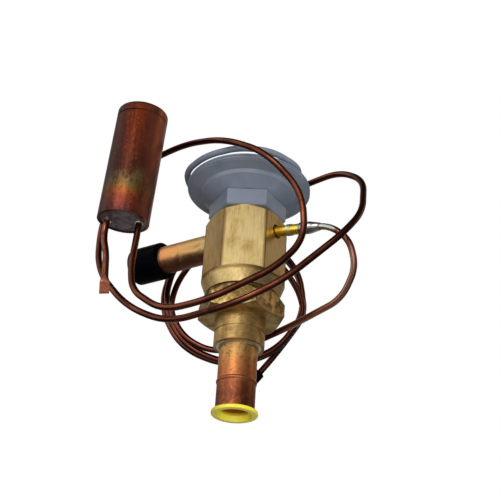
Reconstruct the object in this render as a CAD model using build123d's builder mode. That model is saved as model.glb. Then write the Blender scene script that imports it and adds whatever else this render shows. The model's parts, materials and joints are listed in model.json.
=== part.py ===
from build123d import *
from math import cos, pi, radians, sin, tan
import os

os.makedirs("parts", exist_ok=True)

# A thermostatic expansion valve, angle pattern, with an external equalizer line.
# The valve axis is Z: the open end of the outlet tube is z = 0 and the power element
# is on top. The front flat of the hexagonal body faces -Y. Millimetres throughout.

# ---- driving dimensions -------------------------------------------------------

# fits and joints
running_gap = 0.05
braze_gap = 0.05
thread_gap = 0.05
plug_gap = 0.08
contact_gap = 0.05

# copper tubes
outlet_tube_diameter = 15.88
outlet_tube_wall = 1.0
outlet_tube_reach = 27.4
outlet_bead_height = 12.0
outlet_bead_width = 1.6
outlet_bead_rise = 0.35
inlet_tube_diameter = 12.7
inlet_tube_wall = 0.9
inlet_tube_reach = 57.0
capillary_diameter = 2.8

# outlet fitting: collar, hexagon and threaded spigot, turned from one bar
collar_diameter = 21.1
collar_length = 12.0
collar_groove_height = 5.6
collar_groove_width = 0.8
collar_groove_depth = 0.25
outlet_socket_depth = 11.0
braze_bevel = 1.25
fitting_bar_margin = 3.7
fitting_turn = -10
fitting_shoulder_edge = 0.3
fitting_lower_bevel = 1.6
fitting_corner_length = 5.3
fitting_upper_bevel = 3.7
spigot_diameter = 25.8
spigot_length = 8.0
spring_bore_diameter = 15.0
outlet_throat_diameter = 11.6
throat_length = 2.5

# valve body: a hexagon milled on a round bar
body_across_flats = 31.0
body_bar_diameter = 35.7
body_length = 36.9
body_neck_diameter = 31.2
band_bevel = 6.0
band_land = 0.7
body_top_bevel = 2.0
body_top_land = 0.3
seal_thickness = 0.6
seal_width = 1.7
carrier_bore_diameter = 17.0
carrier_bore_depth = 20.9
inlet_chamber_diameter = 13.0
guide_length = 2.0
element_recess_diameter = 18.0
element_recess_depth = 3.1

# side ports, both at one height, on opposite flats
port_drop = 8.2
inlet_direction = 150
equalizer_direction = -30
equalizer_lean = 8
port_socket_radius = 9.6
inlet_passage_diameter = 9.0
riser_radius = 8.0
riser_diameter = 1.6

# equalizer nipple, joint and line
nipple_diameter = 4.6
nipple_reach = 29.0
nipple_bore_depth = 8.0
nipple_recess_diameter = 6.4
nipple_recess_depth = 1.8
nipple_ring_distance = 21.3
nipple_ring_width = 1.9
nipple_ring_rise = 0.3
joint_diameter = 5.3
joint_length = 9.5
joint_overlap = 1.6
joint_tip_diameter = 3.3
bend_distance = 4.1
end_cap_wall = 1.1
end_cap_length = 9.0

# orifice, pin and spring
seat_length = 5.0
orifice_diameter = 6.0
seat_funnel_diameter = 9.6
pin_diameter = 3.0
cone_base_diameter = 7.6
cone_length = 3.3
carrier_thickness = 3.0
carrier_pilot_diameter = 9.4
carrier_pilot_length = 2.2
carrier_notch_diameter = 6.0
spring_wire = 1.4
spring_turns = 5
retainer_thickness = 3.6
retainer_hole_diameter = 6.4
retainer_slot_width = 1.8
retainer_slot_depth = 1.2

# power element
base_across_flats = 29.5
base_height = 8.05
base_edge = 0.6
gasket_thickness = 1.15
base_spigot_length = 2.5
base_recess_diameter = 20.0
base_recess_depth = 3.6
balance_hole_diameter = 1.6
balance_hole_radius = 5.2
element_diameter = 55.0
housing_wall = 1.3
lower_step_land = 0.9
lower_cone_rise = 3.9
lower_step_rise = 1.5
lower_flange_rise = 2.5
housing_throat_diameter = 24.0
flange_inner_diameter = 41.6
diaphragm_thickness = 0.3
diaphragm_diameter = 54.2
upper_dome_rise = 5.4
upper_dome_flat = 18.0
buffer_diameter = 37.0
buffer_thickness = 1.5
buffer_boss_diameter = 7.0
buffer_boss_length = 3.0
capillary_collar_diameter = 6.0
capillary_collar_length = 3.6

# inlet strainer
strainer_length = 15.0
strainer_wall = 0.35
strainer_rim = 1.2
strainer_clearance = 0.8
strainer_slots = 6
strainer_slot_width = 1.6

# shipping caps
plug_flange_diameter = 18.8
plug_flange_thickness = 1.6
plug_length = 13.0
plug_wall = 1.0
plug_taper = 0.5
plug_mouth_depth = 2.0
plug_mouth_edge = 0.15
inlet_cap_diameter = 17.0
inlet_cap_length = 15.8
inlet_cap_end = 1.8

# sensing bulb
bulb_diameter = 22.3
bulb_length = 54.0
bulb_wall = 1.0
bulb_edge = 1.6
bulb_foot = (-51.5, -16.5, 75.9)
bulb_lean = (0.063, -0.093, 0.994)
bulb_seam_drop = 4.5
bulb_seam_depth = 0.3
bulb_port_offset = 6.9
end_disc_thickness = 1.6
end_disc_inset = 0.4
tube_in_bulb = 3.0
bead_diameter = 4.0
bead_height = 0.9
stub_tip_width = 3.9
stub_tip_thickness = 1.0
stub_tip_length = 5.0
stub_flare_length = 3.0

# ---- heights up the valve axis --------------------------------------------------

collar_foot = outlet_tube_reach
collar_top = collar_foot + collar_length
fitting_corner_foot = collar_top + fitting_lower_bevel
fitting_corner_top = fitting_corner_foot + fitting_corner_length
fitting_top = fitting_corner_top + fitting_upper_bevel
spigot_top = fitting_top + spigot_length
outlet_socket_top = collar_foot + outlet_socket_depth
spring_bore_foot = outlet_socket_top + throat_length
body_foot = fitting_top + seal_thickness
body_top = body_foot + body_length
flats_foot = body_foot + band_bevel + band_land
carrier_bore_top = body_foot + carrier_bore_depth
guide_top = body_top - element_recess_depth
chamber_top = guide_top - guide_length
port_height = body_top - port_drop
base_foot = body_top + gasket_thickness
base_top = base_foot + base_height
seat_foot = carrier_bore_top - seat_length
flange_face = base_top + lower_cone_rise + lower_step_rise + lower_flange_rise
dome_face = flange_face + diaphragm_thickness
dome_top = dome_face + upper_dome_rise

body_radius = body_across_flats / 2
tube_radius = capillary_diameter / 2
rim_radius = element_diameter / 2


def half_section(points, plane=Plane.XZ):
    """The closed half-section of a turned piece: x is radius, y is distance along its axis."""
    with BuildSketch(plane) as section:
        with BuildLine():
            Polyline(*points, close=True)
        make_face()
    return section.sketch


def ring_points(inner, outer, low, high):
    return [(inner, low), (outer, low), (outer, high), (inner, high)]


# ---- valve body -------------------------------------------------------------------

inlet_plane = Plane(
    origin=(0, 0, port_height),
    x_dir=(0, 0, 1),
    z_dir=(cos(radians(inlet_direction)), sin(radians(inlet_direction)), 0),
)
nipple_axis = Vector(
    cos(radians(equalizer_direction)) * cos(radians(equalizer_lean)),
    sin(radians(equalizer_direction)) * cos(radians(equalizer_lean)),
    -sin(radians(equalizer_lean)),
)
nipple_rise = body_radius * tan(radians(equalizer_lean))
nipple_plane = Plane(
    origin=(0, 0, port_height + nipple_rise),
    x_dir=(sin(radians(equalizer_direction)), -cos(radians(equalizer_direction)), 0),
    z_dir=nipple_axis,
)
spigot_thread_radius = spigot_diameter / 2 + thread_gap

with BuildPart() as valve_body:
    bar_radius = body_bar_diameter / 2
    revolve(half_section([
        (0, body_foot),
        (body_neck_diameter / 2, body_foot),
        (bar_radius, body_foot + band_bevel),
        (bar_radius, body_top - body_top_bevel),
        (body_radius - body_top_land, body_top),
        (0, body_top),
    ]), axis=Axis.Z)
    with BuildSketch(Plane.XY.offset(flats_foot)):
        Circle(body_bar_diameter)
        RegularPolygon(body_radius, 6, major_radius=False, mode=Mode.SUBTRACT)
    extrude(amount=body_length, mode=Mode.SUBTRACT)
    with BuildSketch(Plane.XY.offset(body_foot)):
        Circle(spigot_thread_radius)
    extrude(amount=spigot_length + thread_gap, mode=Mode.SUBTRACT)
    with BuildSketch(Plane.XY.offset(body_foot)):
        Circle(carrier_bore_diameter / 2)
    extrude(amount=carrier_bore_depth, mode=Mode.SUBTRACT)
    with BuildSketch(Plane.XY.offset(carrier_bore_top)):
        Circle(inlet_chamber_diameter / 2)
    extrude(amount=chamber_top - carrier_bore_top, mode=Mode.SUBTRACT)
    with BuildSketch(Plane.XY.offset(chamber_top)):
        Circle(pin_diameter / 2 + running_gap)
    extrude(amount=guide_length, mode=Mode.SUBTRACT)
    with BuildSketch(Plane.XY.offset(guide_top)):
        Circle(element_recess_diameter / 2)
    extrude(amount=body_length, mode=Mode.SUBTRACT)
    with BuildSketch(inlet_plane):
        Circle(inlet_passage_diameter / 2)
    extrude(amount=port_socket_radius, mode=Mode.SUBTRACT)
    with BuildSketch(inlet_plane.offset(port_socket_radius)):
        Circle(inlet_tube_diameter / 2 + braze_gap)
    extrude(amount=body_bar_diameter, mode=Mode.SUBTRACT)
    with BuildSketch(nipple_plane.offset(riser_radius)):
        Circle(riser_diameter / 2)
    extrude(amount=port_socket_radius, mode=Mode.SUBTRACT)
    with BuildSketch(nipple_plane.offset(port_socket_radius)):
        Circle(nipple_diameter / 2 + braze_gap)
    extrude(amount=body_bar_diameter, mode=Mode.SUBTRACT)
    with BuildSketch(nipple_plane.offset(body_radius - nipple_recess_depth)):
        Circle(nipple_recess_diameter / 2)
    extrude(amount=body_bar_diameter, mode=Mode.SUBTRACT)
    riser_foot = nipple_plane.origin + nipple_axis * riser_radius
    with BuildSketch(Plane(origin=riser_foot, z_dir=(0, 0, 1))):
        Circle(riser_diameter / 2)
    extrude(amount=guide_top - riser_foot.Z + contact_gap, mode=Mode.SUBTRACT)
valve_body.part.label = "valve_body"
export_step(valve_body.part, "parts/valve_body.step")

# ---- outlet fitting, tube and plug --------------------------------------------------

outlet_radius = outlet_tube_diameter / 2
outlet_bore = outlet_radius - outlet_tube_wall
outlet_socket_radius = outlet_radius + braze_gap
collar_radius = collar_diameter / 2
fitting_flat_radius = (body_bar_diameter - fitting_bar_margin) / 2
fitting_corner_radius = fitting_flat_radius / cos(radians(30))

with BuildPart() as outlet_fitting:
    groove_foot = collar_foot + collar_groove_height
    revolve(half_section([
        (0, collar_foot),
        (collar_radius, collar_foot),
        (collar_radius, groove_foot),
        (collar_radius - collar_groove_depth, groove_foot),
        (collar_radius - collar_groove_depth, groove_foot + collar_groove_width),
        (collar_radius, groove_foot + collar_groove_width),
        (collar_radius, collar_top),
        (fitting_flat_radius - fitting_shoulder_edge, collar_top),
        (fitting_corner_radius, fitting_corner_foot),
        (fitting_corner_radius, fitting_corner_top),
        (body_neck_diameter / 2, fitting_top),
        (spigot_diameter / 2, fitting_top),
        (spigot_diameter / 2, spigot_top),
        (0, spigot_top),
    ]), axis=Axis.Z)
    with BuildSketch(Plane.XY.offset(collar_top)):
        Circle(body_bar_diameter)
        RegularPolygon(
            fitting_flat_radius, 6, major_radius=False, rotation=fitting_turn, mode=Mode.SUBTRACT
        )
    extrude(amount=fitting_top - collar_top, mode=Mode.SUBTRACT)
    revolve(half_section([
            (0, collar_foot),
            (outlet_socket_radius + braze_bevel, collar_foot),
            (outlet_socket_radius, collar_foot + braze_bevel),
            (outlet_socket_radius, outlet_socket_top),
            (outlet_throat_diameter / 2, outlet_socket_top),
            (outlet_throat_diameter / 2, spring_bore_foot),
            (spring_bore_diameter / 2, spring_bore_foot),
            (spring_bore_diameter / 2, spigot_top),
            (0, spigot_top),
        ]), axis=Axis.Z, mode=Mode.SUBTRACT)
outlet_fitting.part.label = "outlet_fitting"
export_step(outlet_fitting.part, "parts/outlet_fitting.step")

with BuildPart() as fitting_seal:
    seal_radius = spigot_thread_radius + seal_width
    seal_points = ring_points(spigot_thread_radius, seal_radius, fitting_top, body_foot)
    revolve(half_section(seal_points), axis=Axis.Z)
fitting_seal.part.label = "fitting_seal"
export_step(fitting_seal.part, "parts/fitting_seal.step")

with BuildPart() as outlet_tube:
    wall_points = ring_points(outlet_bore, outlet_radius, 0, outlet_socket_top - contact_gap)
    revolve(half_section(wall_points), axis=Axis.Z)
    bead_low = outlet_bead_height - outlet_bead_width / 2
    bead_high = outlet_bead_height + outlet_bead_width / 2
    with BuildSketch(Plane.XZ):
        with BuildLine():
            ThreePointArc(
                (outlet_radius, bead_low),
                (outlet_radius + outlet_bead_rise, outlet_bead_height),
                (outlet_radius, bead_high),
            )
            Polyline(
                (outlet_radius, bead_high),
                (outlet_radius - outlet_tube_wall / 2, bead_high),
                (outlet_radius - outlet_tube_wall / 2, bead_low),
                (outlet_radius, bead_low),
            )
        make_face()
    revolve(axis=Axis.Z)
outlet_tube.part.label = "outlet_tube"
export_step(outlet_tube.part, "parts/outlet_tube.step")

with BuildPart() as outlet_braze_ring:
    with BuildSketch(Plane.XZ):
        with BuildLine():
            Polyline(
                (outlet_radius, collar_foot - braze_bevel / 2),
                (outlet_radius, collar_foot + braze_bevel),
                (outlet_socket_radius, collar_foot + braze_bevel),
                (outlet_socket_radius + braze_bevel, collar_foot),
            )
            ThreePointArc(
                (outlet_socket_radius + braze_bevel, collar_foot),
                (outlet_radius + braze_bevel / 2, collar_foot - braze_bevel / 6),
                (outlet_radius, collar_foot - braze_bevel / 2),
            )
        make_face()
    revolve(axis=Axis.Z)
outlet_braze_ring.part.label = "outlet_braze_ring"
export_step(outlet_braze_ring.part, "parts/outlet_braze_ring.step")

with BuildPart() as outlet_plug:
    plug_radius = outlet_bore - plug_gap
    tip_radius = plug_radius - plug_taper
    revolve(half_section([
        (0, plug_length),
        (tip_radius, plug_length),
        (plug_radius, 0),
        (plug_flange_diameter / 2, 0),
        (plug_flange_diameter / 2, -plug_flange_thickness),
        (outlet_bore + plug_mouth_edge, -plug_flange_thickness),
        (plug_radius - plug_wall, plug_mouth_depth - plug_flange_thickness),
        (tip_radius - plug_wall, plug_length - plug_wall),
        (0, plug_length - plug_wall),
    ]), axis=Axis.Z)
    flange_rims = outlet_plug.edges().filter_by(GeomType.CIRCLE).group_by(SortBy.RADIUS)[-1]
    fillet(flange_rims, plug_flange_thickness / 3)
outlet_plug.part.label = "outlet_plug"
export_step(outlet_plug.part, "parts/outlet_plug.step")

# ---- orifice, pin, carrier, spring and its retainer -----------------------------------

orifice_radius = orifice_diameter / 2
pin_radius = pin_diameter / 2
cone_base_radius = cone_base_diameter / 2
cone_slope = cone_length / (cone_base_radius - pin_radius)
cone_top = seat_foot - contact_gap + (orifice_radius - pin_radius) * cone_slope
cone_foot = cone_top - cone_length
carrier_top = cone_foot
carrier_foot = carrier_top - carrier_thickness
spring_top = carrier_foot
retainer_top = spring_bore_foot + retainer_thickness
buffer_top = flange_face - contact_gap
pin_top = buffer_top - buffer_thickness - buffer_boss_length / 2

with BuildPart() as orifice_seat:
    revolve(half_section([
        (orifice_radius, seat_foot),
        (carrier_bore_diameter / 2, seat_foot),
        (carrier_bore_diameter / 2, carrier_bore_top),
        (seat_funnel_diameter / 2, carrier_bore_top),
        (orifice_radius, seat_foot + seat_length / 2),
    ]), axis=Axis.Z)
orifice_seat.part.label = "orifice_seat"
export_step(orifice_seat.part, "parts/orifice_seat.step")

with BuildPart() as valve_pin:
    revolve(half_section([
        (0, carrier_foot),
        (pin_radius, carrier_foot),
        (pin_radius, cone_foot),
        (cone_base_radius, cone_foot),
        (pin_radius, cone_top),
        (pin_radius, pin_top),
        (0, pin_top),
    ]), axis=Axis.Z)
valve_pin.part.label = "valve_pin"
export_step(valve_pin.part, "parts/valve_pin.step")

with BuildPart() as pin_carrier:
    with BuildSketch(Plane.XY.offset(carrier_foot)):
        Circle(carrier_bore_diameter / 2 - running_gap)
        with PolarLocations(carrier_bore_diameter / 2, 3):
            Circle(carrier_notch_diameter / 2, mode=Mode.SUBTRACT)
    extrude(amount=carrier_thickness)
    with BuildSketch(Plane.XY.offset(carrier_foot - carrier_pilot_length)):
        Circle(carrier_pilot_diameter / 2)
    extrude(amount=carrier_pilot_length)
    with BuildSketch(Plane.XY.offset(carrier_foot)):
        Circle(pin_radius)
    extrude(amount=carrier_thickness, mode=Mode.SUBTRACT)
pin_carrier.part.label = "pin_carrier"
export_step(pin_carrier.part, "parts/pin_carrier.step")

with BuildPart() as superheat_spring:
    spring_radius = carrier_pilot_diameter / 2 + spring_wire / 2 + running_gap
    spring_height = spring_top - retainer_top - spring_wire
    with BuildLine():
        spring_line = Helix(
            pitch=spring_height / spring_turns,
            height=spring_height,
            radius=spring_radius,
            center=(0, 0, retainer_top + spring_wire / 2),
        )
    with BuildSketch(Plane(origin=spring_line @ 0, z_dir=spring_line % 0)):
        Circle(spring_wire / 2)
    sweep()
superheat_spring.part.label = "superheat_spring"
export_step(superheat_spring.part, "parts/superheat_spring.step")

with BuildPart() as spring_retainer:
    retainer_radius = spring_bore_diameter / 2
    retainer_hole = retainer_hole_diameter / 2
    retainer_points = ring_points(retainer_hole, retainer_radius, spring_bore_foot, retainer_top)
    revolve(half_section(retainer_points), axis=Axis.Z)
    with BuildSketch(Plane.XY.offset(spring_bore_foot)):
        Rectangle(2 * spring_bore_diameter, retainer_slot_width)
    extrude(amount=retainer_slot_depth, mode=Mode.SUBTRACT)
spring_retainer.part.label = "spring_retainer"
export_step(spring_retainer.part, "parts/spring_retainer.step")

# ---- power element ----------------------------------------------------------------------

spigot_foot = body_top - base_spigot_length
recess_radius = element_recess_diameter / 2

with BuildPart() as element_gasket:
    gasket_radius = base_across_flats / 2 - base_edge
    revolve(half_section(ring_points(recess_radius, gasket_radius, body_top, base_foot)), axis=Axis.Z)
element_gasket.part.label = "element_gasket"
export_step(element_gasket.part, "parts/element_gasket.step")

with BuildPart() as element_base:
    with BuildSketch(Plane.XY.offset(base_foot)):
        RegularPolygon(base_across_flats / 2, 6, major_radius=False)
    extrude(amount=base_height)
    base_ends = element_base.faces().filter_by(Axis.Z).edges()
    chamfer(base_ends, base_edge)
    with BuildSketch(Plane.XY.offset(spigot_foot)):
        Circle(recess_radius - thread_gap)
    extrude(amount=base_foot - spigot_foot)
    with BuildSketch(Plane.XY.offset(base_top - base_recess_depth)):
        Circle(base_recess_diameter / 2)
    extrude(amount=base_recess_depth, mode=Mode.SUBTRACT)
    with BuildSketch(Plane.XY.offset(spigot_foot)):
        Circle(pin_radius + running_gap)
        with PolarLocations(balance_hole_radius, 4):
            Circle(balance_hole_diameter / 2)
    extrude(amount=base_top - spigot_foot, mode=Mode.SUBTRACT)
element_base.part.label = "element_base"
export_step(element_base.part, "parts/element_base.step")

with BuildPart() as lower_housing:
    cone_rim = base_top + lower_cone_rise
    step_rim = cone_rim + lower_step_rise
    rim_foot = flange_face - housing_wall
    inner_flange = flange_inner_diameter / 2
    step_radius = inner_flange + lower_step_land
    cone_start = base_across_flats / 2
    revolve(half_section([
        (housing_throat_diameter / 2, base_top),
        (cone_start, base_top),
        (step_radius - lower_step_rise / 2, cone_rim),
        (step_radius, step_rim),
        (rim_radius - housing_wall, rim_foot),
        (rim_radius, rim_foot + housing_wall / 2),
        (rim_radius, flange_face),
        (inner_flange, flange_face),
        (inner_flange - lower_step_rise / 2, cone_rim + housing_wall),
        (cone_start - housing_wall / 2, base_top + housing_wall),
        (housing_throat_diameter / 2, base_top + housing_wall),
    ]), axis=Axis.Z)
lower_housing.part.label = "lower_housing"
export_step(lower_housing.part, "parts/lower_housing.step")

with BuildPart() as diaphragm:
    with BuildSketch(Plane.XY.offset(flange_face)):
        Circle(diaphragm_diameter / 2)
    extrude(amount=diaphragm_thickness)
diaphragm.part.label = "diaphragm"
export_step(diaphragm.part, "parts/diaphragm.step")

with BuildPart() as buffer_plate:
    boss_foot = buffer_top - buffer_thickness - buffer_boss_length
    revolve(half_section([
        (0, pin_top),
        (pin_radius, pin_top),
        (pin_radius, boss_foot),
        (buffer_boss_diameter / 2, boss_foot),
        (buffer_boss_diameter / 2, buffer_top - buffer_thickness),
        (buffer_diameter / 2, buffer_top - buffer_thickness),
        (buffer_diameter / 2, buffer_top),
        (0, buffer_top),
    ]), axis=Axis.Z)
buffer_plate.part.label = "buffer_plate"
export_step(buffer_plate.part, "parts/buffer_plate.step")

with BuildPart() as upper_housing:
    flat_radius = upper_dome_flat / 2
    shoulder_radius = inner_flange + housing_wall / 2
    revolve(half_section([
        (tube_radius, dome_top),
        (flat_radius, dome_top),
        (flat_radius + upper_dome_rise, dome_top - housing_wall / 2),
        (inner_flange - housing_wall / 2, dome_face + 2 * housing_wall),
        (shoulder_radius, dome_face + housing_wall),
        (rim_radius - housing_wall / 2, dome_face + housing_wall),
        (rim_radius, dome_face + housing_wall / 2),
        (rim_radius, dome_face),
        (inner_flange, dome_face),
        (inner_flange - housing_wall, dome_face + housing_wall),
        (flat_radius + upper_dome_rise, dome_top - 2 * housing_wall),
        (flat_radius, dome_top - housing_wall),
        (tube_radius, dome_top - housing_wall),
    ]), axis=Axis.Z)
upper_housing.part.label = "upper_housing"
export_step(upper_housing.part, "parts/upper_housing.step")

collar_tip = dome_top + capillary_collar_length
with BuildPart() as capillary_collar:
    revolve(half_section([
        (tube_radius, dome_top),
        (capillary_collar_diameter / 2, dome_top),
        (capillary_collar_diameter / 2, dome_top + capillary_collar_length / 2),
        (tube_radius + housing_wall / 2, collar_tip),
        (tube_radius, collar_tip),
    ]), axis=Axis.Z)
capillary_collar.part.label = "capillary_collar"
export_step(capillary_collar.part, "parts/capillary_collar.step")

# ---- inlet: tube, strainer and cap --------------------------------------------------------


def turned_on(plane, points):
    """Turns a half-section about the normal of a plane."""
    section_plane = Plane(origin=plane.origin, x_dir=plane.x_dir, z_dir=-plane.y_dir)
    return revolve(half_section(points, section_plane), axis=Axis(plane.origin, plane.z_dir))


inlet_radius = inlet_tube_diameter / 2
inlet_bore = inlet_radius - inlet_tube_wall
inlet_foot = port_socket_radius + contact_gap

with BuildPart() as inlet_tube:
    turned_on(inlet_plane, ring_points(inlet_bore, inlet_radius, inlet_foot, inlet_tube_reach))
inlet_tube.part.label = "inlet_tube"
export_step(inlet_tube.part, "parts/inlet_tube.step")

with BuildPart() as inlet_strainer:
    rim_radius_in = inlet_bore - contact_gap
    screen_radius = inlet_bore - strainer_clearance
    screen_foot = inlet_foot + body_radius / 2
    screen_mouth = screen_foot + strainer_length
    turned_on(inlet_plane, [
        (0, screen_foot),
        (screen_radius, screen_foot),
        (screen_radius, screen_mouth - strainer_rim),
        (rim_radius_in, screen_mouth - strainer_rim),
        (rim_radius_in, screen_mouth),
        (screen_radius - strainer_wall, screen_mouth),
        (screen_radius - strainer_wall, screen_foot + strainer_wall),
        (0, screen_foot + strainer_wall),
    ])
    slot_length = strainer_length - strainer_rim - 4 * strainer_slot_width
    slot_middle = screen_foot + 1.5 * strainer_slot_width + slot_length / 2
    with Locations(inlet_plane.offset(slot_middle)):
        with PolarLocations(screen_radius, strainer_slots):
            Box(
                4 * strainer_wall, strainer_slot_width, slot_length, mode=Mode.SUBTRACT
            )
inlet_strainer.part.label = "inlet_strainer"
export_step(inlet_strainer.part, "parts/inlet_strainer.step")

with BuildPart() as inlet_cap:
    cap_end = inlet_tube_reach + contact_gap + inlet_cap_end
    cap_mouth = cap_end - inlet_cap_length
    cap_radius = inlet_cap_diameter / 2
    turned_on(inlet_plane, [
        (inlet_radius + running_gap, cap_mouth),
        (cap_radius, cap_mouth),
        (cap_radius, cap_end),
        (0, cap_end),
        (0, cap_end - inlet_cap_end),
        (inlet_radius + running_gap, cap_end - inlet_cap_end),
    ])
    cap_rims = inlet_cap.edges().filter_by(GeomType.CIRCLE).group_by(SortBy.RADIUS)[-1]
    fillet(cap_rims, inlet_cap_end / 2)
inlet_cap.part.label = "inlet_cap"
export_step(inlet_cap.part, "parts/inlet_cap.step")

# ---- equalizer nipple and joint -------------------------------------------------------------

nipple_radius = nipple_diameter / 2
nipple_foot = port_socket_radius + contact_gap
bore_foot = nipple_reach - nipple_bore_depth

with BuildPart() as equalizer_nipple:
    turned_on(nipple_plane, [
        (riser_diameter / 2, nipple_foot),
        (nipple_radius, nipple_foot),
        (nipple_radius, nipple_reach),
        (tube_radius + braze_gap, nipple_reach),
        (tube_radius + braze_gap, bore_foot),
        (riser_diameter / 2, bore_foot),
    ])
equalizer_nipple.part.label = "equalizer_nipple"
export_step(equalizer_nipple.part, "parts/equalizer_nipple.step")

with BuildPart() as nipple_ring:
    ring_end = nipple_ring_distance + nipple_ring_width
    ring_radius = nipple_radius + nipple_ring_rise
    turned_on(nipple_plane, ring_points(nipple_radius, ring_radius, nipple_ring_distance, ring_end))
nipple_ring.part.label = "nipple_ring"
export_step(nipple_ring.part, "parts/nipple_ring.step")

with BuildPart() as equalizer_joint:
    joint_start = nipple_reach - joint_overlap
    joint_end = joint_start + joint_length
    joint_radius = joint_diameter / 2
    turned_on(nipple_plane, [
        (nipple_radius, joint_start),
        (joint_radius, joint_start),
        (joint_radius, joint_start + joint_length / 2),
        (joint_tip_diameter / 2, joint_end),
        (tube_radius + braze_gap, joint_end),
        (tube_radius + braze_gap, nipple_reach + contact_gap),
        (nipple_radius, nipple_reach + contact_gap),
    ])
equalizer_joint.part.label = "equalizer_joint"
export_step(equalizer_joint.part, "parts/equalizer_joint.step")

# ---- bent tubes ---------------------------------------------------------------------------------


def bend_radii(points):
    """One radius per corner: as large as the two runs that meet there allow."""
    spots = [Vector(*point) for point in points]
    radii = []
    last = len(spots) - 2
    for i in range(1, last + 1):
        run_in = spots[i] - spots[i - 1]
        run_out = spots[i + 1] - spots[i]
        share_in = 0.9 if i == 1 else 0.45
        share_out = 0.9 if i == last else 0.45
        reach = min(share_in * run_in.length, share_out * run_out.length)
        turn = radians(run_in.get_angle(run_out))
        radii.append(reach / tan(turn / 2))
    return radii


def bent_tube(points):
    """A copper tube of the capillary's diameter, bent along straight runs and tangent arcs."""
    with BuildPart() as tube:
        with BuildLine():
            route = FilletPolyline(*points, radius=bend_radii(points))
        with BuildSketch(Plane(origin=route @ 0, z_dir=route % 0)):
            Circle(tube_radius)
        sweep()
    prism = pi * tube_radius ** 2 * route.length
    print("tube length", round(route.length, 1), "least bend", round(min(bend_radii(points)), 1))
    print("volume over section x length", round(tube.part.volume / prism, 5))
    return tube


def midpoint(first, second):
    return tuple((a + b) / 2 for a, b in zip(first, second))


# the painted first stretch: up out of the element and once round above its rim
lead_route = [
    (0, 0, dome_top - housing_wall),
    (0, 0, dome_top + 9.2),
    (13, 6, dome_top + 8.2),
    (22.5, 0, dome_top + 2.2),
    (21.5, -12, dome_top + 0.5),
    (10, -22.5, dome_top + 0.7),
    (-4, -24.5, dome_top + 0.7),
    (-19, -17.5, dome_top + 0.7),
    (-28.5, -5, dome_top + 0.7),
    (-28, 8, dome_top + 0.7),
    (-19, 19, dome_top + 0.7),
    (-5, 23, dome_top + 1.2),
]
# bare copper: out to the right, down across the front, up behind the bulb and back
bare_route = [
    (11, 17.5, dome_top + 1.7),
    (26, 5, dome_top + 2.7),
    (40, -6.5, dome_top + 2.2),
    (50, -18, 101),
    (48.5, -26.5, 79),
    (40, -31, 65.5),
    (17, -31.5, 43),
    (-1, -28, 34),
    (-28, -16, 30),
    (-46.5, -9.5, 39.5),
    (-62, -4.5, 58.5),
    (-63.5, -3.5, 81),
    (-60, 0, 105),
    (-47.5, -1, dome_top + 7.7),
    (-29.5, -11, dome_top + 11.2),
    (-11, -27, dome_top + 3.2),
    (8, -37.5, 99.5),
    (23.5, -35, 82),
    (25, -31.5, 62),
    (14, -32.5, 48),
    (-12, -30.5, 33.5),
    (-30, -22.5, 32),
    (-43.5, -18.5, 42.5),
    (-45.5, -17.5, 54),
]

bulb_plane = Plane(origin=bulb_foot, x_dir=(1, 0, -bulb_lean[0] / bulb_lean[2]), z_dir=bulb_lean)
below_bulb = 8.0
capillary_entry = bulb_plane.from_local_coords((bulb_port_offset, 0, tube_in_bulb))
capillary_below = bulb_plane.from_local_coords((bulb_port_offset, 0, -below_bulb))

paint_edge = midpoint(lead_route[-1], bare_route[0])
capillary_lead = bent_tube(lead_route + [paint_edge])
capillary_lead.part.label = "capillary_lead"
export_step(capillary_lead.part, "parts/capillary_lead.step")
bulb_end = [tuple(capillary_below), tuple(capillary_entry)]
capillary_tube = bent_tube([paint_edge] + bare_route + bulb_end)
capillary_tube.part.label = "capillary_tube"
export_step(capillary_tube.part, "parts/capillary_tube.step")

# the equalizer line: round to the back of the valve and into a hanging coil
line_start = nipple_plane.origin + nipple_axis * (bore_foot + contact_gap)
bend_distance_out = nipple_reach - joint_overlap + joint_length + bend_distance
line_bend = nipple_plane.origin + nipple_axis * bend_distance_out
equalizer_run = [
    (43.5, -22, 68.5),
    (46.5, -17.5, 58),
    (41.5, -7, 48.5),
    (20, 12, 43.5),
    (1, 26.5, 40),
    (-14, 32, 39.5),
    (-27, 33, 46.5),
    (-34.5, 33.2, 60),
    (-32.5, 33.4, 74),
    (-26, 33.5, 86.5),
    (-13, 33.6, 97),
    (5, 33.9, 96.5),
    (17.6, 34.2, 84.5),
    (24.6, 34.4, 72.5),
    (27.2, 34.6, 62.5),
]
# the coil narrows and widens a little from turn to turn: one centre and half width for each
coil_centres = [(-4, 69), (-5, 70), (-6, 70.5), (-6, 71)]
coil_widths = [(29.6, 31.0), (31.0, 33.0), (32.4, 33.0), (32.4, 33.0)]
coil_front = 32.0
coil_pitch = 3.4
coil_steps = 9
coil_start = 8
coil_end = 25
tail_run = [(20.5, 42, 52.5), (12.5, 42, 40.5), (3.25, 42, 28.3)]


def between(pairs, turn):
    """The pair at a whole or part turn, worked out along a straight line."""
    whole = int(turn)
    share = turn - whole
    first, second = pairs[whole], pairs[whole + 1]
    return (first[0] + (second[0] - first[0]) * share, first[1] + (second[1] - first[1]) * share)


def coil_point(step):
    turn = step / coil_steps
    centre = between(coil_centres, turn)
    width, height = between(coil_widths, turn)
    corner = 1 / cos(pi / coil_steps)
    swing = 2 * pi * turn
    x = centre[0] - width * corner * sin(swing)
    z = centre[1] - height * corner * cos(swing)
    return (x, coil_front + coil_pitch * turn, z)


coil_run = [coil_point(step) for step in range(coil_start, coil_end + 1)]
equalizer_route = [tuple(line_start), tuple(line_bend)] + equalizer_run + coil_run + tail_run
equalizer_tube = bent_tube(equalizer_route)
equalizer_tube.part.label = "equalizer_tube"
export_step(equalizer_tube.part, "parts/equalizer_tube.step")

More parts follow.
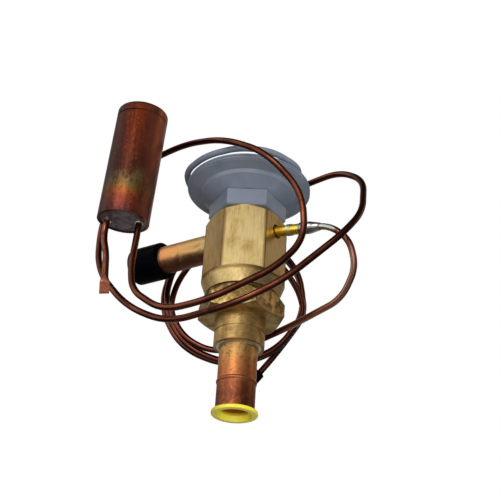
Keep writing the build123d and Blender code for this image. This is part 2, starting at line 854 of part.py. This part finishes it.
tail_way = (Vector(*tail_run[-1]) - Vector(*tail_run[-2])).normalized()
tail_plane = Plane(origin=tail_run[-1], z_dir=tail_way)

with BuildPart() as equalizer_cap:
    cap_outer = tube_radius + running_gap + end_cap_wall
    turned_on(tail_plane, [
        (tube_radius + running_gap, end_cap_wall - end_cap_length),
        (cap_outer, end_cap_wall - end_cap_length),
        (cap_outer, end_cap_wall),
        (0, end_cap_wall),
        (0, contact_gap),
        (tube_radius + running_gap, contact_gap),
    ])
    end_rim = equalizer_cap.edges().filter_by(GeomType.CIRCLE).group_by(SortBy.RADIUS)[-1]
    fillet(end_rim, end_cap_wall / 3)
equalizer_cap.part.label = "equalizer_cap"
export_step(equalizer_cap.part, "parts/equalizer_cap.step")

# ---- sensing bulb -----------------------------------------------------------------------------------

bulb_radius = bulb_diameter / 2
bulb_inside = bulb_radius - bulb_wall

with BuildPart() as bulb_shell:
    seam = bulb_length - bulb_seam_drop
    turned_on(bulb_plane, [
        (bulb_inside, 0),
        (bulb_radius, 0),
        (bulb_radius, seam - bulb_seam_depth),
        (bulb_radius - bulb_seam_depth, seam),
        (bulb_radius, seam + bulb_seam_depth),
        (bulb_radius, bulb_length),
        (0, bulb_length),
        (0, bulb_length - bulb_wall),
        (bulb_inside, bulb_length - bulb_wall),
    ])
    outer_rims = bulb_shell.edges().filter_by(GeomType.CIRCLE).group_by(SortBy.RADIUS)[-1]
    fillet(outer_rims.sort_by(Axis.Z)[-1], bulb_edge)
bulb_shell.part.label = "bulb_shell"
export_step(bulb_shell.part, "parts/bulb_shell.step")

with BuildPart() as bulb_end_disc:
    with BuildSketch(bulb_plane.offset(end_disc_inset)):
        Circle(bulb_inside)
        with Locations((bulb_port_offset, 0), (-bulb_port_offset, 0)):
            Circle(tube_radius, mode=Mode.SUBTRACT)
    extrude(amount=end_disc_thickness)
bulb_end_disc.part.label = "bulb_end_disc"
export_step(bulb_end_disc.part, "parts/bulb_end_disc.step")

with BuildPart() as bulb_beads:
    with BuildSketch(bulb_plane.offset(end_disc_inset - bead_height)):
        with Locations((bulb_port_offset, 0), (-bulb_port_offset, 0)):
            Circle(bead_diameter / 2)
            Circle(tube_radius, mode=Mode.SUBTRACT)
    extrude(amount=bead_height)
    low_rims = bulb_beads.edges().filter_by(GeomType.CIRCLE).group_by(SortBy.RADIUS)[-1]
    fillet(low_rims.group_by(Axis.Z)[0], bead_height / 2)
bulb_beads.part.label = "bulb_beads"
export_step(bulb_beads.part, "parts/bulb_beads.step")

# the charging stub: a short tube that is crimped flat and flared at its tip
stub_route = [
    tuple(bulb_plane.from_local_coords((-bulb_port_offset, 0, tube_in_bulb))),
    tuple(bulb_plane.from_local_coords((-bulb_port_offset, 0, -below_bulb))),
    (-56.5, -17, 60),
    (-55.5, -17.5, 49),
]
stub_end = Vector(*stub_route[-1])
stub_way = (stub_end - Vector(*stub_route[-2])).normalized()
flare_plane = Plane(origin=stub_end, x_dir=(1, 0, 0), z_dir=stub_way)

charging_stub_tube = bent_tube(stub_route)
with BuildPart() as charging_stub:
    add(charging_stub_tube.part)
    with BuildSketch(flare_plane):
        Circle(tube_radius)
    with BuildSketch(flare_plane.offset(stub_flare_length)):
        Rectangle(stub_tip_width, stub_tip_thickness)
    loft()
    with BuildSketch(flare_plane.offset(stub_flare_length)):
        Rectangle(stub_tip_width, stub_tip_thickness)
    extrude(amount=stub_tip_length)
charging_stub.part.label = "charging_stub"
export_step(charging_stub.part, "parts/charging_stub.step")
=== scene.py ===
import bmesh
import bpy
import json
from math import cos, radians, sin
from mathutils import Matrix, Vector


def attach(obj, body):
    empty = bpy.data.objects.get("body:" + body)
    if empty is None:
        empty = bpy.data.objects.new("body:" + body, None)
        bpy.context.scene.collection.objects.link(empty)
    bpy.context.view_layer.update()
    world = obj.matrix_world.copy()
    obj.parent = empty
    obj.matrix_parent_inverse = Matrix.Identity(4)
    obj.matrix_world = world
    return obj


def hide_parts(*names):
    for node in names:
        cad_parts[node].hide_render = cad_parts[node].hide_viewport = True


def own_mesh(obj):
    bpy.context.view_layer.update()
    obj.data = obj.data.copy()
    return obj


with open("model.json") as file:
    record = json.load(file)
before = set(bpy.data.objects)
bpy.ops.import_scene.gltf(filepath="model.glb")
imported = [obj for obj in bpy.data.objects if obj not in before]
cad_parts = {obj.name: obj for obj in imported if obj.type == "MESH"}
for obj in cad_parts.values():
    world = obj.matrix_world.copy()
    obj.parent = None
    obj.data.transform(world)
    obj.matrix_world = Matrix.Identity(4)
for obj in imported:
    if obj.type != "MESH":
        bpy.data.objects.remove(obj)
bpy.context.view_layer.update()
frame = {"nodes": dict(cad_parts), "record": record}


# ---- node helpers -----------------------------------------------------------------


def new_material(name, metallic=1.0, roughness=0.3, coat=0.0, coat_roughness=0.1):
    made = bpy.data.materials.new(name)
    made.use_nodes = True
    shader = made.node_tree.nodes["Principled BSDF"]
    shader.inputs["Metallic"].default_value = metallic
    shader.inputs["Roughness"].default_value = roughness
    shader.inputs["Coat Weight"].default_value = coat
    shader.inputs["Coat Roughness"].default_value = coat_roughness
    return made


def add(tree, kind, **values):
    node = tree.nodes.new(kind)
    for key, value in values.items():
        setattr(node, key, value)
    return node


def place(tree, stretch=(1, 1, 1), offset=(0, 0, 0)):
    """Object coordinates, which are the row frame in metres, scaled for a texture."""
    source = add(tree, "ShaderNodeTexCoord")
    mapping = add(tree, "ShaderNodeMapping")
    mapping.inputs["Scale"].default_value = stretch
    mapping.inputs["Location"].default_value = offset
    tree.links.new(source.outputs["Object"], mapping.inputs["Vector"])
    return mapping.outputs["Vector"]


def noise(tree, scale, stretch=(1, 1, 1), offset=(0, 0, 0), detail=4.0, rough=0.55, bend=0.0):
    texture = add(tree, "ShaderNodeTexNoise")
    texture.inputs["Scale"].default_value = scale
    texture.inputs["Detail"].default_value = detail
    texture.inputs["Roughness"].default_value = rough
    texture.inputs["Distortion"].default_value = bend
    tree.links.new(place(tree, stretch, offset), texture.inputs["Vector"])
    return texture.outputs[0]


def ramp(tree, value, stops):
    node = add(tree, "ShaderNodeValToRGB")
    band = node.color_ramp
    while len(band.elements) < len(stops):
        band.elements.new(0.5)
    for element, (position, colour) in zip(band.elements, stops):
        element.position = position
        shade = colour if isinstance(colour, tuple) else (colour, colour, colour)
        element.color = (*shade, 1)
    tree.links.new(value, node.inputs["Fac"])
    return node.outputs["Color"]


def mix(tree, share, first, second, blend="MIX"):
    node = add(tree, "ShaderNodeMix", data_type="RGBA", blend_type=blend)
    for socket, value in ((node.inputs[0], share), (node.inputs[6], first), (node.inputs[7], second)):
        if isinstance(value, tuple):
            socket.default_value = (*value, 1)
        elif isinstance(value, (int, float)):
            socket.default_value = value
        else:
            tree.links.new(value, socket)
    return node.outputs[2]


def maths(tree, operation, first, second=0.0):
    node = add(tree, "ShaderNodeMath", operation=operation)
    for socket, value in zip(node.inputs, (first, second)):
        if isinstance(value, (int, float)):
            socket.default_value = value
        else:
            tree.links.new(value, socket)
    return node.outputs[0]


def times(tree, first, second):
    return maths(tree, "MULTIPLY", first, second)


def span(tree, value, low, high, start=0.0, end=1.0, kind="SMOOTHSTEP"):
    node = add(tree, "ShaderNodeMapRange", interpolation_type=kind)
    tree.links.new(value, node.inputs["Value"])
    for name, number in (("From Min", low), ("From Max", high), ("To Min", start), ("To Max", end)):
        node.inputs[name].default_value = number
    return node.outputs[0]


def part_of(tree, axis, offset=(0, 0, 0)):
    """One object coordinate, in metres."""
    node = add(tree, "ShaderNodeSeparateXYZ")
    tree.links.new(place(tree, (1, 1, 1), offset), node.inputs[0])
    return node.outputs[axis]


def along(tree, way, origin=(0, 0, 0)):
    """Distance from origin along a direction, in metres."""
    node = add(tree, "ShaderNodeVectorMath", operation="DOT_PRODUCT")
    tree.links.new(place(tree, (1, 1, 1), tuple(-v for v in origin)), node.inputs[0])
    node.inputs[1].default_value = way
    return node.outputs["Value"]


def apart(tree, spot):
    """Distance from one spot, in metres."""
    node = add(tree, "ShaderNodeVectorMath", operation="DISTANCE")
    tree.links.new(place(tree), node.inputs[0])
    node.inputs[1].default_value = spot
    return node.outputs["Value"]


def from_valve_axis(tree):
    """Distance from the axis of the body and the outlet, in metres."""
    node = add(tree, "ShaderNodeVectorMath", operation="LENGTH")
    tree.links.new(place(tree, (1, 1, 0)), node.inputs[0])
    return node.outputs["Value"]


def colour_so_far(made):
    """The socket that feeds the material's colour now, to paint over."""
    return made.node_tree.nodes["Principled BSDF"].inputs["Base Color"].links[0].from_socket


def set_colour(made, colour):
    made.node_tree.links.new(colour, made.node_tree.nodes["Principled BSDF"].inputs["Base Color"])


def set_roughness(made, value):
    made.node_tree.links.new(value, made.node_tree.nodes["Principled BSDF"].inputs["Roughness"])


def set_bump(made, value, distance, strength=1.0):
    tree = made.node_tree
    node = add(tree, "ShaderNodeBump")
    node.inputs["Strength"].default_value = strength
    node.inputs["Distance"].default_value = distance
    tree.links.new(value, node.inputs["Height"])
    tree.links.new(node.outputs[0], tree.nodes["Principled BSDF"].inputs["Normal"])


# ---- materials --------------------------------------------------------------------


def milled_brass(name, light, mid, dark, grain=(1, 1, 0.05), roughness=0.34, film_scale=130):
    """Brass with fine machining grain, a few scratches and a matt film in patches."""
    made = new_material(name, 1.0, roughness)
    tree = made.node_tree
    lines = noise(tree, 2200, grain, detail=3.0)
    patches = noise(tree, film_scale, (1, 1, 0.7), detail=6.0, rough=0.64, bend=0.6)
    film = ramp(tree, patches, [(0.34, dark), (0.47, mid), (0.62, light)])
    shades = ramp(tree, lines, [(0.30, 0.62), (0.52, 1.0), (0.8, 1.0)])
    coloured = mix(tree, 0.75, film, shades, "MULTIPLY")
    scratches = noise(tree, 800, (1, 1, 0.03), (0.3, 0.1, 0.2), detail=2.0)
    marks = ramp(tree, scratches, [(0.64, 0.0), (0.68, 1.0), (0.72, 0.0)])
    set_colour(made, mix(tree, times(tree, marks, 0.5), coloured, light))
    set_roughness(made, span(tree, patches, 0.3, 0.7, roughness + 0.10, roughness - 0.06))
    set_bump(made, maths(tree, "ADD", lines, times(tree, marks, -0.8)), 0.00004, 0.7)
    return made


def body_brass():
    """Milled brass with a painted dark line down each corner of the hexagon, a painted reflection of its
    rounded edges.
    """
    corner_line_starts, corner_line_full = 0.01755, 0.01800
    made = milled_brass("brass_body", (0.69, 0.525, 0.240), (0.61, 0.445, 0.186), (0.455, 0.303, 0.107))
    tree = made.node_tree
    plain = colour_so_far(made)
    ragged = times(tree, noise(tree, 300, (1, 1, 0.3)), 0.0005)
    radius = maths(tree, "ADD", from_valve_axis(tree), ragged)
    # painted reflection: a dark line at each corner of the hexagon, found by distance from the axis
    painted_corner_line = span(tree, radius, corner_line_starts, corner_line_full, 0.0, 0.75)
    set_colour(made, mix(tree, painted_corner_line, plain, (0.20, 0.10, 0.03)))
    return made


def fitting_brass():
    """Turned brass, made matt by the braze heat, with dark olive and brown patches under the tubes that
    are partly stains and partly painted shade of the tubes.
    """
    stain_and_shade_from, stain_and_shade_to = 0.036, 0.050
    made = milled_brass(
        "brass_fitting", (0.68, 0.47, 0.19), (0.56, 0.36, 0.130), (0.38, 0.22, 0.08),
        (0.12, 0.12, 1), 0.44, 170)
    tree = made.node_tree
    clean = colour_so_far(made)
    clouds = noise(tree, 210, (1, 1, 0.8), (0.5, 0.2, 0), 6.0, 0.68, 0.8)
    stain_and_shade = ramp(tree, clouds, [(0.40, 0.0), (0.56, 1.0)])
    # dark patches in a band of height: partly stains, partly painted shade under the tubes
    height = span(tree, part_of(tree, 2), stain_and_shade_from, stain_and_shade_to, kind="LINEAR")
    zone = ramp(tree, height, [(0.0, 0.3), (0.28, 0.2), (0.42, 0.9), (1.0, 1.0)])
    set_colour(made, mix(tree, times(tree, stain_and_shade, zone), clean, (0.11, 0.070, 0.022)))
    return made


def copper(name, bright, mid, dark, roughness=0.22, patch_scale=120, speckle=0.35, coat=0.0):
    """Drawn copper: brown tarnish over a salmon metal, with specks and faint draw lines."""
    made = new_material(name, 1.0, roughness, coat, 0.14)
    tree = made.node_tree
    clouds = noise(tree, patch_scale, detail=6.0, rough=0.62, bend=0.8)
    base = ramp(tree, clouds, [(0.34, dark), (0.50, mid), (0.66, bright)])
    specks = ramp(tree, noise(tree, 1100, detail=3.0), [(0.58, 0.0), (0.70, 1.0)])
    set_colour(made, mix(tree, times(tree, specks, speckle), base, dark))
    set_roughness(made, span(tree, clouds, 0.3, 0.7, roughness + 0.10, roughness - 0.04))
    set_bump(made, noise(tree, 260, detail=2.0), 0.00004, 0.3)
    return made


def tube_copper():
    """The thin tubes: red-brown, with painted highlights in two places, painted shade on the strands
    further back, and a run of braze by the joint.
    """
    first_bend = (0.036, -0.003, 0.050)
    crossing = (0.0180, 0.0360, 0.0330)
    joint_end = (0.0335, -0.0193, 0.0763)
    back_shade_from, back_shade_to = 0.016, 0.030
    made = copper(
        "copper_tube", (0.19, 0.060, 0.032), (0.125, 0.034, 0.017), (0.066, 0.015, 0.007),
        0.18, 60, 0.35, 0.1)
    tree = made.node_tree
    plain = colour_so_far(made)
    # painted shade: strands further back are made dark brown
    back_shade = span(tree, part_of(tree, 1), back_shade_from, back_shade_to, 0.0, 0.6)
    shaded_back = mix(tree, back_shade, plain, (0.13, 0.036, 0.024))
    # painted highlights: two spots of light salmon copper where the tubes would catch the light
    at_bend = span(tree, apart(tree, first_bend), 0.020, 0.029, 0.75, 0.0)
    at_crossing = span(tree, apart(tree, crossing), 0.005, 0.011, 0.75, 0.0)
    with_painted_highlights = mix(tree, maths(tree, "MAXIMUM", at_bend, at_crossing), shaded_back, (0.70, 0.34, 0.24))
    ragged = times(tree, noise(tree, 400), 0.003)
    run = maths(tree, "ADD", apart(tree, joint_end), ragged)
    set_colour(made, mix(tree, span(tree, run, 0.0045, 0.0080, 1.0, 0.0), with_painted_highlights, (0.56, 0.54, 0.49)))
    return made


def element_paint():
    """Satin slate paint with a little dust."""
    made = new_material("element_paint", 0.0, 0.32, 0.1, 0.08)
    tree = made.node_tree
    tree.nodes["Principled BSDF"].inputs["Specular IOR Level"].default_value = 0.35
    clouds = noise(tree, 90, detail=4.0)
    base = ramp(tree, clouds, [(0.3, (0.150, 0.174, 0.220)), (0.7, (0.205, 0.235, 0.292))])
    dust = ramp(tree, noise(tree, 1900, detail=2.0), [(0.70, 0.0), (0.78, 1.0)])
    set_colour(made, mix(tree, times(tree, dust, 0.3), base, (0.42, 0.44, 0.47)))
    set_roughness(made, span(tree, clouds, 0.3, 0.7, 0.40, 0.28))
    set_bump(made, noise(tree, 420, detail=2.0), 0.00005, 0.6)
    return made


def inlet_copper():
    """Golden where the braze heat cleaned it, orange further out, with a painted shade of dark brown on
    its underside.
    """
    inlet_way = (cos(radians(150)), sin(radians(150)), 0)
    near_body, near_cap = 0.020, 0.056
    underside_shade_top, underside_shade_end = 0.0780, 0.0825
    made = new_material("copper_inlet", 1.0, 0.42)
    tree = made.node_tree
    clouds = noise(tree, 170, detail=6.0, rough=0.65, bend=0.6)
    reach = maths(tree, "ADD", along(tree, inlet_way), times(tree, clouds, 0.02))
    base = ramp(tree, span(tree, reach, near_body, near_cap), [
        (0.15, (0.92, 0.66, 0.27)), (0.55, (0.92, 0.52, 0.20)), (0.95, (0.84, 0.38, 0.14))])
    # painted shade: dark brown below a ragged height, on the tube's underside
    height = maths(tree, "ADD", part_of(tree, 2), times(tree, clouds, 0.009))
    underside_shade = span(tree, height, underside_shade_top, underside_shade_end, 0.95, 0.0)
    set_colour(made, mix(tree, underside_shade, base, (0.16, 0.050, 0.028)))
    set_roughness(made, span(tree, clouds, 0.3, 0.7, 0.50, 0.36))
    set_bump(made, noise(tree, 900, detail=3.0), 0.00005, 0.5)
    return made


def outlet_copper():
    """Orange near the collar, speckled, dark brown below the bead."""
    open_end, collar_end = 0.006, 0.032
    made = new_material("copper_outlet", 1.0, 0.42)
    tree = made.node_tree
    clouds = noise(tree, 130, (1, 1, 0.8), detail=7.0, rough=0.68, bend=0.7)
    height = maths(tree, "ADD", part_of(tree, 2), times(tree, clouds, 0.010))
    base = ramp(tree, span(tree, height, open_end, collar_end), [
        (0.06, (0.16, 0.050, 0.026)), (0.30, (0.30, 0.095, 0.042)), (0.40, (0.50, 0.180, 0.070)),
        (0.50, (0.46, 0.160, 0.056)), (0.80, (0.52, 0.215, 0.070)), (0.97, (0.62, 0.36, 0.120))])
    stains = noise(tree, 330, (1, 1, 0.7), (0.4, 0, 0), 6.0, 0.7, 1.6)
    blotched = mix(tree, ramp(tree, stains, [(0.52, 0.0), (0.62, 0.8)]), base, (0.36, 0.100, 0.034))
    specks = ramp(tree, noise(tree, 620, detail=5.0, rough=0.7), [(0.54, 0.0), (0.62, 1.0)])
    set_colour(made, mix(tree, times(tree, specks, 0.7), blotched, (0.20, 0.055, 0.024)))
    set_roughness(made, span(tree, clouds, 0.3, 0.7, 0.52, 0.34))
    set_bump(made, noise(tree, 500, detail=4.0), 0.00008, 0.6)
    return made


def bulb_copper():
    """Dark red-brown, with an orange heat band low down and an olive patina above it, painted shade on
    its left side and painted light on its right.
    """
    bulb_foot = (-0.0515, -0.0165, 0.0759)
    bulb_way = tuple(Vector((0.063, -0.093, 0.994)).normalized())
    ramp_length = 0.060
    made = new_material("copper_bulb", 1.0, 0.40, 0.05, 0.3)
    tree = made.node_tree
    clouds = noise(tree, 95, (1, 1, 0.75), detail=6.0, rough=0.65, bend=1.0)
    height = maths(tree, "ADD", along(tree, bulb_way, bulb_foot), times(tree, clouds, 0.010))
    up = span(tree, height, 0.0, ramp_length, kind="LINEAR")
    base = ramp(tree, up, [
        (0.083, (0.15, 0.040, 0.030)), (0.13, (0.25, 0.052, 0.032)), (0.19, (0.28, 0.060, 0.030)),
        (0.235, (0.40, 0.105, 0.028)), (0.275, (0.36, 0.145, 0.030)), (0.325, (0.20, 0.105, 0.035)),
        (0.375, (0.11, 0.046, 0.022)), (0.43, (0.09, 0.022, 0.012)), (0.60, (0.13, 0.025, 0.012)),
        (0.80, (0.155, 0.024, 0.007)), (0.94, (0.155, 0.026, 0.007)), (1.0, (0.09, 0.020, 0.007))])
    drawn = noise(tree, 420, (1, 1, 0.08), (0.1, 0, 0), detail=4.0)
    lined = mix(tree, 0.85, base, ramp(tree, drawn, [(0.36, 0.45), (0.60, 1.0)]), "MULTIPLY")
    patina = noise(tree, 190, (1, 1, 0.5), (0.2, 0, 0), detail=6.0, rough=0.72)
    olive = ramp(tree, patina, [(0.46, 0.0), (0.60, 1.0)])
    zone = ramp(tree, up, [(0.27, 0.0), (0.32, 0.8), (0.38, 0.8), (0.46, 0.0)])
    stained = mix(tree, times(tree, olive, zone), lined, (0.20, 0.165, 0.065))
    sand = noise(tree, 1000, (1, 1, 0.7), (0, 0.3, 0), detail=3.0)
    grit = ramp(tree, sand, [(0.60, 0.0), (0.68, 1.0)])
    gritty = mix(tree, times(tree, grit, 0.35), stained, (0.34, 0.14, 0.08))
    specks = ramp(tree, noise(tree, 800, (1, 1, 0.6), detail=4.0), [(0.54, 0.0), (0.64, 1.0)])
    speckled = mix(tree, times(tree, specks, 0.6), gritty, (0.05, 0.014, 0.009))
    across = part_of(tree, 0, (0.050, 0, 0))
    # painted shade: the left side of the bulb goes nearly black
    darker = mix(tree, span(tree, across, -0.010, 0.004, 0.25, 1.0), (0.02, 0.008, 0.006), speckled)
    # painted light: the right side of the bulb goes lighter salmon
    set_colour(made, mix(tree, span(tree, across, 0.003, 0.009, 0.0, 0.35), darker, (0.60, 0.20, 0.11)))
    set_roughness(made, span(tree, clouds, 0.3, 0.7, 0.50, 0.34))
    set_bump(made, noise(tree, 420, (1, 1, 0.4), detail=4.0), 0.0001, 0.5)
    return made


def soft_metal(name, light, dark, roughness, scale, wave=0.00015):
    """Solder, braze or plain steel: two shades in soft clouds and a slight wave."""
    made = new_material(name, 1.0, roughness)
    tree = made.node_tree
    clouds = noise(tree, scale, detail=3.0, rough=0.5)
    set_colour(made, ramp(tree, clouds, [(0.32, dark), (0.62, light)]))
    set_roughness(made, span(tree, clouds, 0.3, 0.7, roughness + 0.08, roughness - 0.04))
    set_bump(made, noise(tree, scale, detail=1.0), wave, 0.5)
    return made


def plastic(name, light, dark, roughness, coat, shine=0.5):
    """Moulded plastic or rubber: two close shades and a faint grain."""
    made = new_material(name, 0.0, roughness, coat, 0.12)
    tree = made.node_tree
    tree.nodes["Principled BSDF"].inputs["Specular IOR Level"].default_value = shine
    clouds = noise(tree, 160, detail=3.0)
    set_colour(made, ramp(tree, clouds, [(0.3, dark), (0.7, light)]))
    set_roughness(made, span(tree, clouds, 0.3, 0.7, roughness + 0.06, roughness - 0.04))
    set_bump(made, noise(tree, 500, detail=2.0), 0.00005, 0.5)
    return made


def plug_plastic():
    """Lemon yellow with a painted shade of dark amber inside the hole of the plug."""
    plug_length = 0.013
    hole_radius, wall_radius = 0.0060, 0.0063
    made = plastic("yellow_plug", (0.95, 0.82, 0.050), (0.88, 0.73, 0.030), 0.30, 0.3)
    tree = made.node_tree
    plain = colour_so_far(made)
    height = span(tree, part_of(tree, 2), 0.0, plug_length, kind="LINEAR")
    deep = ramp(tree, height, [(0.01, 0.0), (0.14, 1.0), (0.93, 1.0), (0.96, 0.0)])
    inside = span(tree, from_valve_axis(tree), hole_radius, wall_radius, 1.0, 0.0)
    # painted shade: the inside of the hole goes dark amber away from its mouth
    set_colour(made, mix(tree, times(tree, deep, inside), plain, (0.30, 0.080, 0.002)))
    return made


def all_looks():
    """One material for each slot of the record, and two that only the scene uses."""
    turned, milled = (0.2, 0.2, 1), (1, 1, 1)
    return {
        "brass_body": body_brass(),
        "brass_fitting": fitting_brass(),
        "nipple_gold": milled_brass(
            "nipple_gold", (1.0, 0.75, 0.13), (0.95, 0.65, 0.065), (0.68, 0.38, 0.022), milled, 0.28),
        "gasket_gold": milled_brass(
            "gasket_gold", (0.80, 0.60, 0.25), (0.70, 0.48, 0.15), (0.5, 0.3, 0.1), turned, 0.35),
        "copper_tube": tube_copper(),
        "copper_inlet": inlet_copper(),
        "copper_outlet": outlet_copper(),
        "copper_bulb": bulb_copper(),
        "bulb_end": copper(
            "bulb_end", (0.27, 0.21, 0.21), (0.19, 0.145, 0.145), (0.10, 0.07, 0.07), 0.45, 300),
        "stub_copper": copper(
            "stub_copper", (0.24, 0.075, 0.040), (0.17, 0.045, 0.022), (0.08, 0.020, 0.010),
            0.25, 200, 0.4, 0.2),
        "element_paint": element_paint(),
        "solder": soft_metal("solder", (0.78, 0.77, 0.74), (0.50, 0.46, 0.42), 0.25, 600),
        "tinned": soft_metal("tinned", (0.58, 0.58, 0.55), (0.12, 0.10, 0.07), 0.17, 260, 0.0001),
        "pale_braze": soft_metal("pale_braze", (0.84, 0.78, 0.56), (0.60, 0.50, 0.28), 0.30, 260),
        "stainless": soft_metal("stainless", (0.62, 0.63, 0.65), (0.48, 0.49, 0.50), 0.25, 500),
        "spring_steel": soft_metal("spring_steel", (0.55, 0.56, 0.58), (0.36, 0.37, 0.39), 0.30, 500),
        "yellow_plug": plug_plastic(),
        "black_cap": plastic(
            "black_cap", (0.0020, 0.0022, 0.0040), (0.0010, 0.0010, 0.0020), 0.24, 0.0, 0.01),
    }


def dress_nodes():
    """Each CAD node gets its slot's material, apart from three small pieces with their own."""
    looks = all_looks()
    slots = {entry["node"]: entry["material_slot"] for entry in frame["record"]["subparts"]}
    slots["charging_stub"] = "stub_copper"
    slots["outlet_braze_ring"] = "pale_braze"
    slots["nipple_ring"] = "pale_braze"
    for name, node in frame["nodes"].items():
        node.data.materials.clear()
        node.data.materials.append(looks[slots[name]])


dress_nodes()


# ---- working spring ---------------------------------------------------------------


def working_spring():
    """The superheat spring again, as a copy with its own mesh that hangs on the valve body."""
    node = frame["nodes"]["superheat_spring"]
    spring = bpy.data.objects.new("working_spring", node.data.copy())
    bpy.context.scene.collection.objects.link(spring)
    spring.matrix_world = node.matrix_world.copy()
    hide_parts("superheat_spring")
    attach(spring, "valve")
    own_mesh(spring)


working_spring()


# ---- stage ------------------------------------------------------------------------


def world_light():
    """White to the camera. Reflections see a dim room with a glow in front and on the left and a
    backdrop behind, and diffuse light comes from low in front."""
    world = bpy.data.worlds.new("studio")
    bpy.context.scene.world = world
    world.use_nodes = True
    tree = world.node_tree
    tree.nodes.clear()
    source = add(tree, "ShaderNodeTexCoord")

    def facing(way):
        node = add(tree, "ShaderNodeVectorMath", operation="DOT_PRODUCT")
        node.inputs[1].default_value = Vector(way).normalized()
        tree.links.new(source.outputs["Generated"], node.inputs[0])
        return node.outputs["Value"]

    def background(colour, strength=1.0):
        node = add(tree, "ShaderNodeBackground")
        node.inputs["Strength"].default_value = strength
        if isinstance(colour, tuple):
            node.inputs["Color"].default_value = colour
        else:
            tree.links.new(colour, node.inputs["Color"])
        return node.outputs[0]

    def either(share, first, second):
        node = add(tree, "ShaderNodeMixShader")
        for socket, value in zip(node.inputs, (share, first, second)):
            tree.links.new(value, socket)
        return node.outputs[0]

    front = span(tree, facing((-0.22, -0.97, 0.02)), -1.0, 1.0, kind="LINEAR")
    room = ramp(tree, front, [
        (0.0, 0.03), (0.50, 0.04), (0.70, 0.07), (0.80, 0.14), (0.87, 0.36), (0.92, 0.72), (0.96, 1.45)])
    flank_left = span(tree, facing((-0.78, 0.38, 0.50)), 0.78, 0.97)
    flank_right = span(tree, facing((0.80, 0.32, 0.50)), 0.78, 0.97)
    warmed = mix(tree, maths(tree, "MAXIMUM", flank_left, flank_right), room, (0.32, 0.25, 0.19))
    left = span(tree, facing((-0.80, -0.36, 0.30)), 0.68, 0.90)
    sides = mix(tree, left, warmed, (1.2, 1.2, 1.2))
    behind_above = span(tree, facing((-0.037, 0.8645, 0.5012)), 0.70, 0.99, 0.0, 0.5)
    behind_below = span(tree, facing((-0.037, 0.8645, -0.5012)), 0.75, 0.97, 0.0, 0.30)
    backdrop = maths(tree, "MAXIMUM", behind_above, behind_below)
    shiny = background(mix(tree, backdrop, sides, (1.0, 1.0, 1.0)))
    low_front = span(tree, facing((0.25, -0.86, -0.42)), -1.0, 1.0, kind="LINEAR")
    soft = ramp(tree, low_front, [(0.0, 0.02), (0.6, 0.03), (0.8, 0.25), (0.92, 0.8), (1.0, 1.0)])
    path = add(tree, "ShaderNodeLightPath")
    lit = either(path.outputs["Is Glossy Ray"], background(soft, 2.5), shiny)
    seen = maths(tree, "MAXIMUM", path.outputs["Is Camera Ray"], path.outputs["Is Transmission Ray"])
    out = add(tree, "ShaderNodeOutputWorld")
    tree.links.new(either(seen, lit, background((1, 1, 1, 1))), out.inputs["Surface"])


def softbox(name, spot, size, power):
    """An area lamp that looks at the middle of the valve."""
    target = Vector((0, 0, 0.07))
    lamp = bpy.data.lights.new(name, "AREA")
    lamp.shape = "RECTANGLE"
    lamp.size, lamp.size_y = size
    lamp.energy = power
    holder = bpy.data.objects.new(name, lamp)
    bpy.context.scene.collection.objects.link(holder)
    holder.location = spot
    holder.rotation_euler = (target - Vector(spot)).to_track_quat("-Z", "Y").to_euler()


def pale_floor():
    """A pale disc far below the valve, which the camera sees nearly white."""
    radius, depth = 0.6, 0.6
    mesh = bpy.data.meshes.new("floor")
    builder = bmesh.new()
    bmesh.ops.create_circle(builder, cap_ends=True, segments=64, radius=radius)
    builder.to_mesh(mesh)
    builder.free()
    floor = bpy.data.objects.new("floor", mesh)
    bpy.context.scene.collection.objects.link(floor)
    floor.location = (0, 0, -depth)
    pale = new_material("floor_pale", 0.0, 0.7)
    tree = pale.node_tree
    shader = tree.nodes["Principled BSDF"]
    set_colour(pale, ramp(tree, noise(tree, 4), [(0.3, 0.74), (0.7, 0.78)]))
    shader.inputs["Emission Color"].default_value = (1, 1, 1, 1)
    seen = add(tree, "ShaderNodeLightPath").outputs["Is Camera Ray"]
    tree.links.new(times(tree, seen, 0.8), shader.inputs["Emission Strength"])
    floor.data.materials.append(pale)


world_light()
softbox("key", (-0.286, -0.613, 0.251), (0.26, 0.18), 0.75)
softbox("right", (0.62, 0.06, 0.40), (0.16, 0.30), 0.12)
pale_floor()


# ---- camera -----------------------------------------------------------------------


def photo_camera():
    """The camera stands low in front and looks up at the valve."""
    spot = (0.01749, -0.3568, -0.1327)
    lens = bpy.data.cameras.new("camera")
    lens.sensor_width = 36
    lens.lens = 68.4
    camera = bpy.data.objects.new("camera", lens)
    bpy.context.scene.collection.objects.link(camera)
    right = Vector((0.99850, 0.01187, 0.05361)).normalized()
    back = Vector((0.0372, -0.8645, -0.5012)).normalized()
    up = back.cross(right).normalized()
    right = up.cross(back)
    turned = Matrix((right, up, back)).transposed().to_4x4()
    camera.matrix_world = Matrix.Translation(spot) @ turned
    bpy.context.scene.camera = camera


photo_camera()
bpy.context.scene.view_settings.view_transform = "Standard"
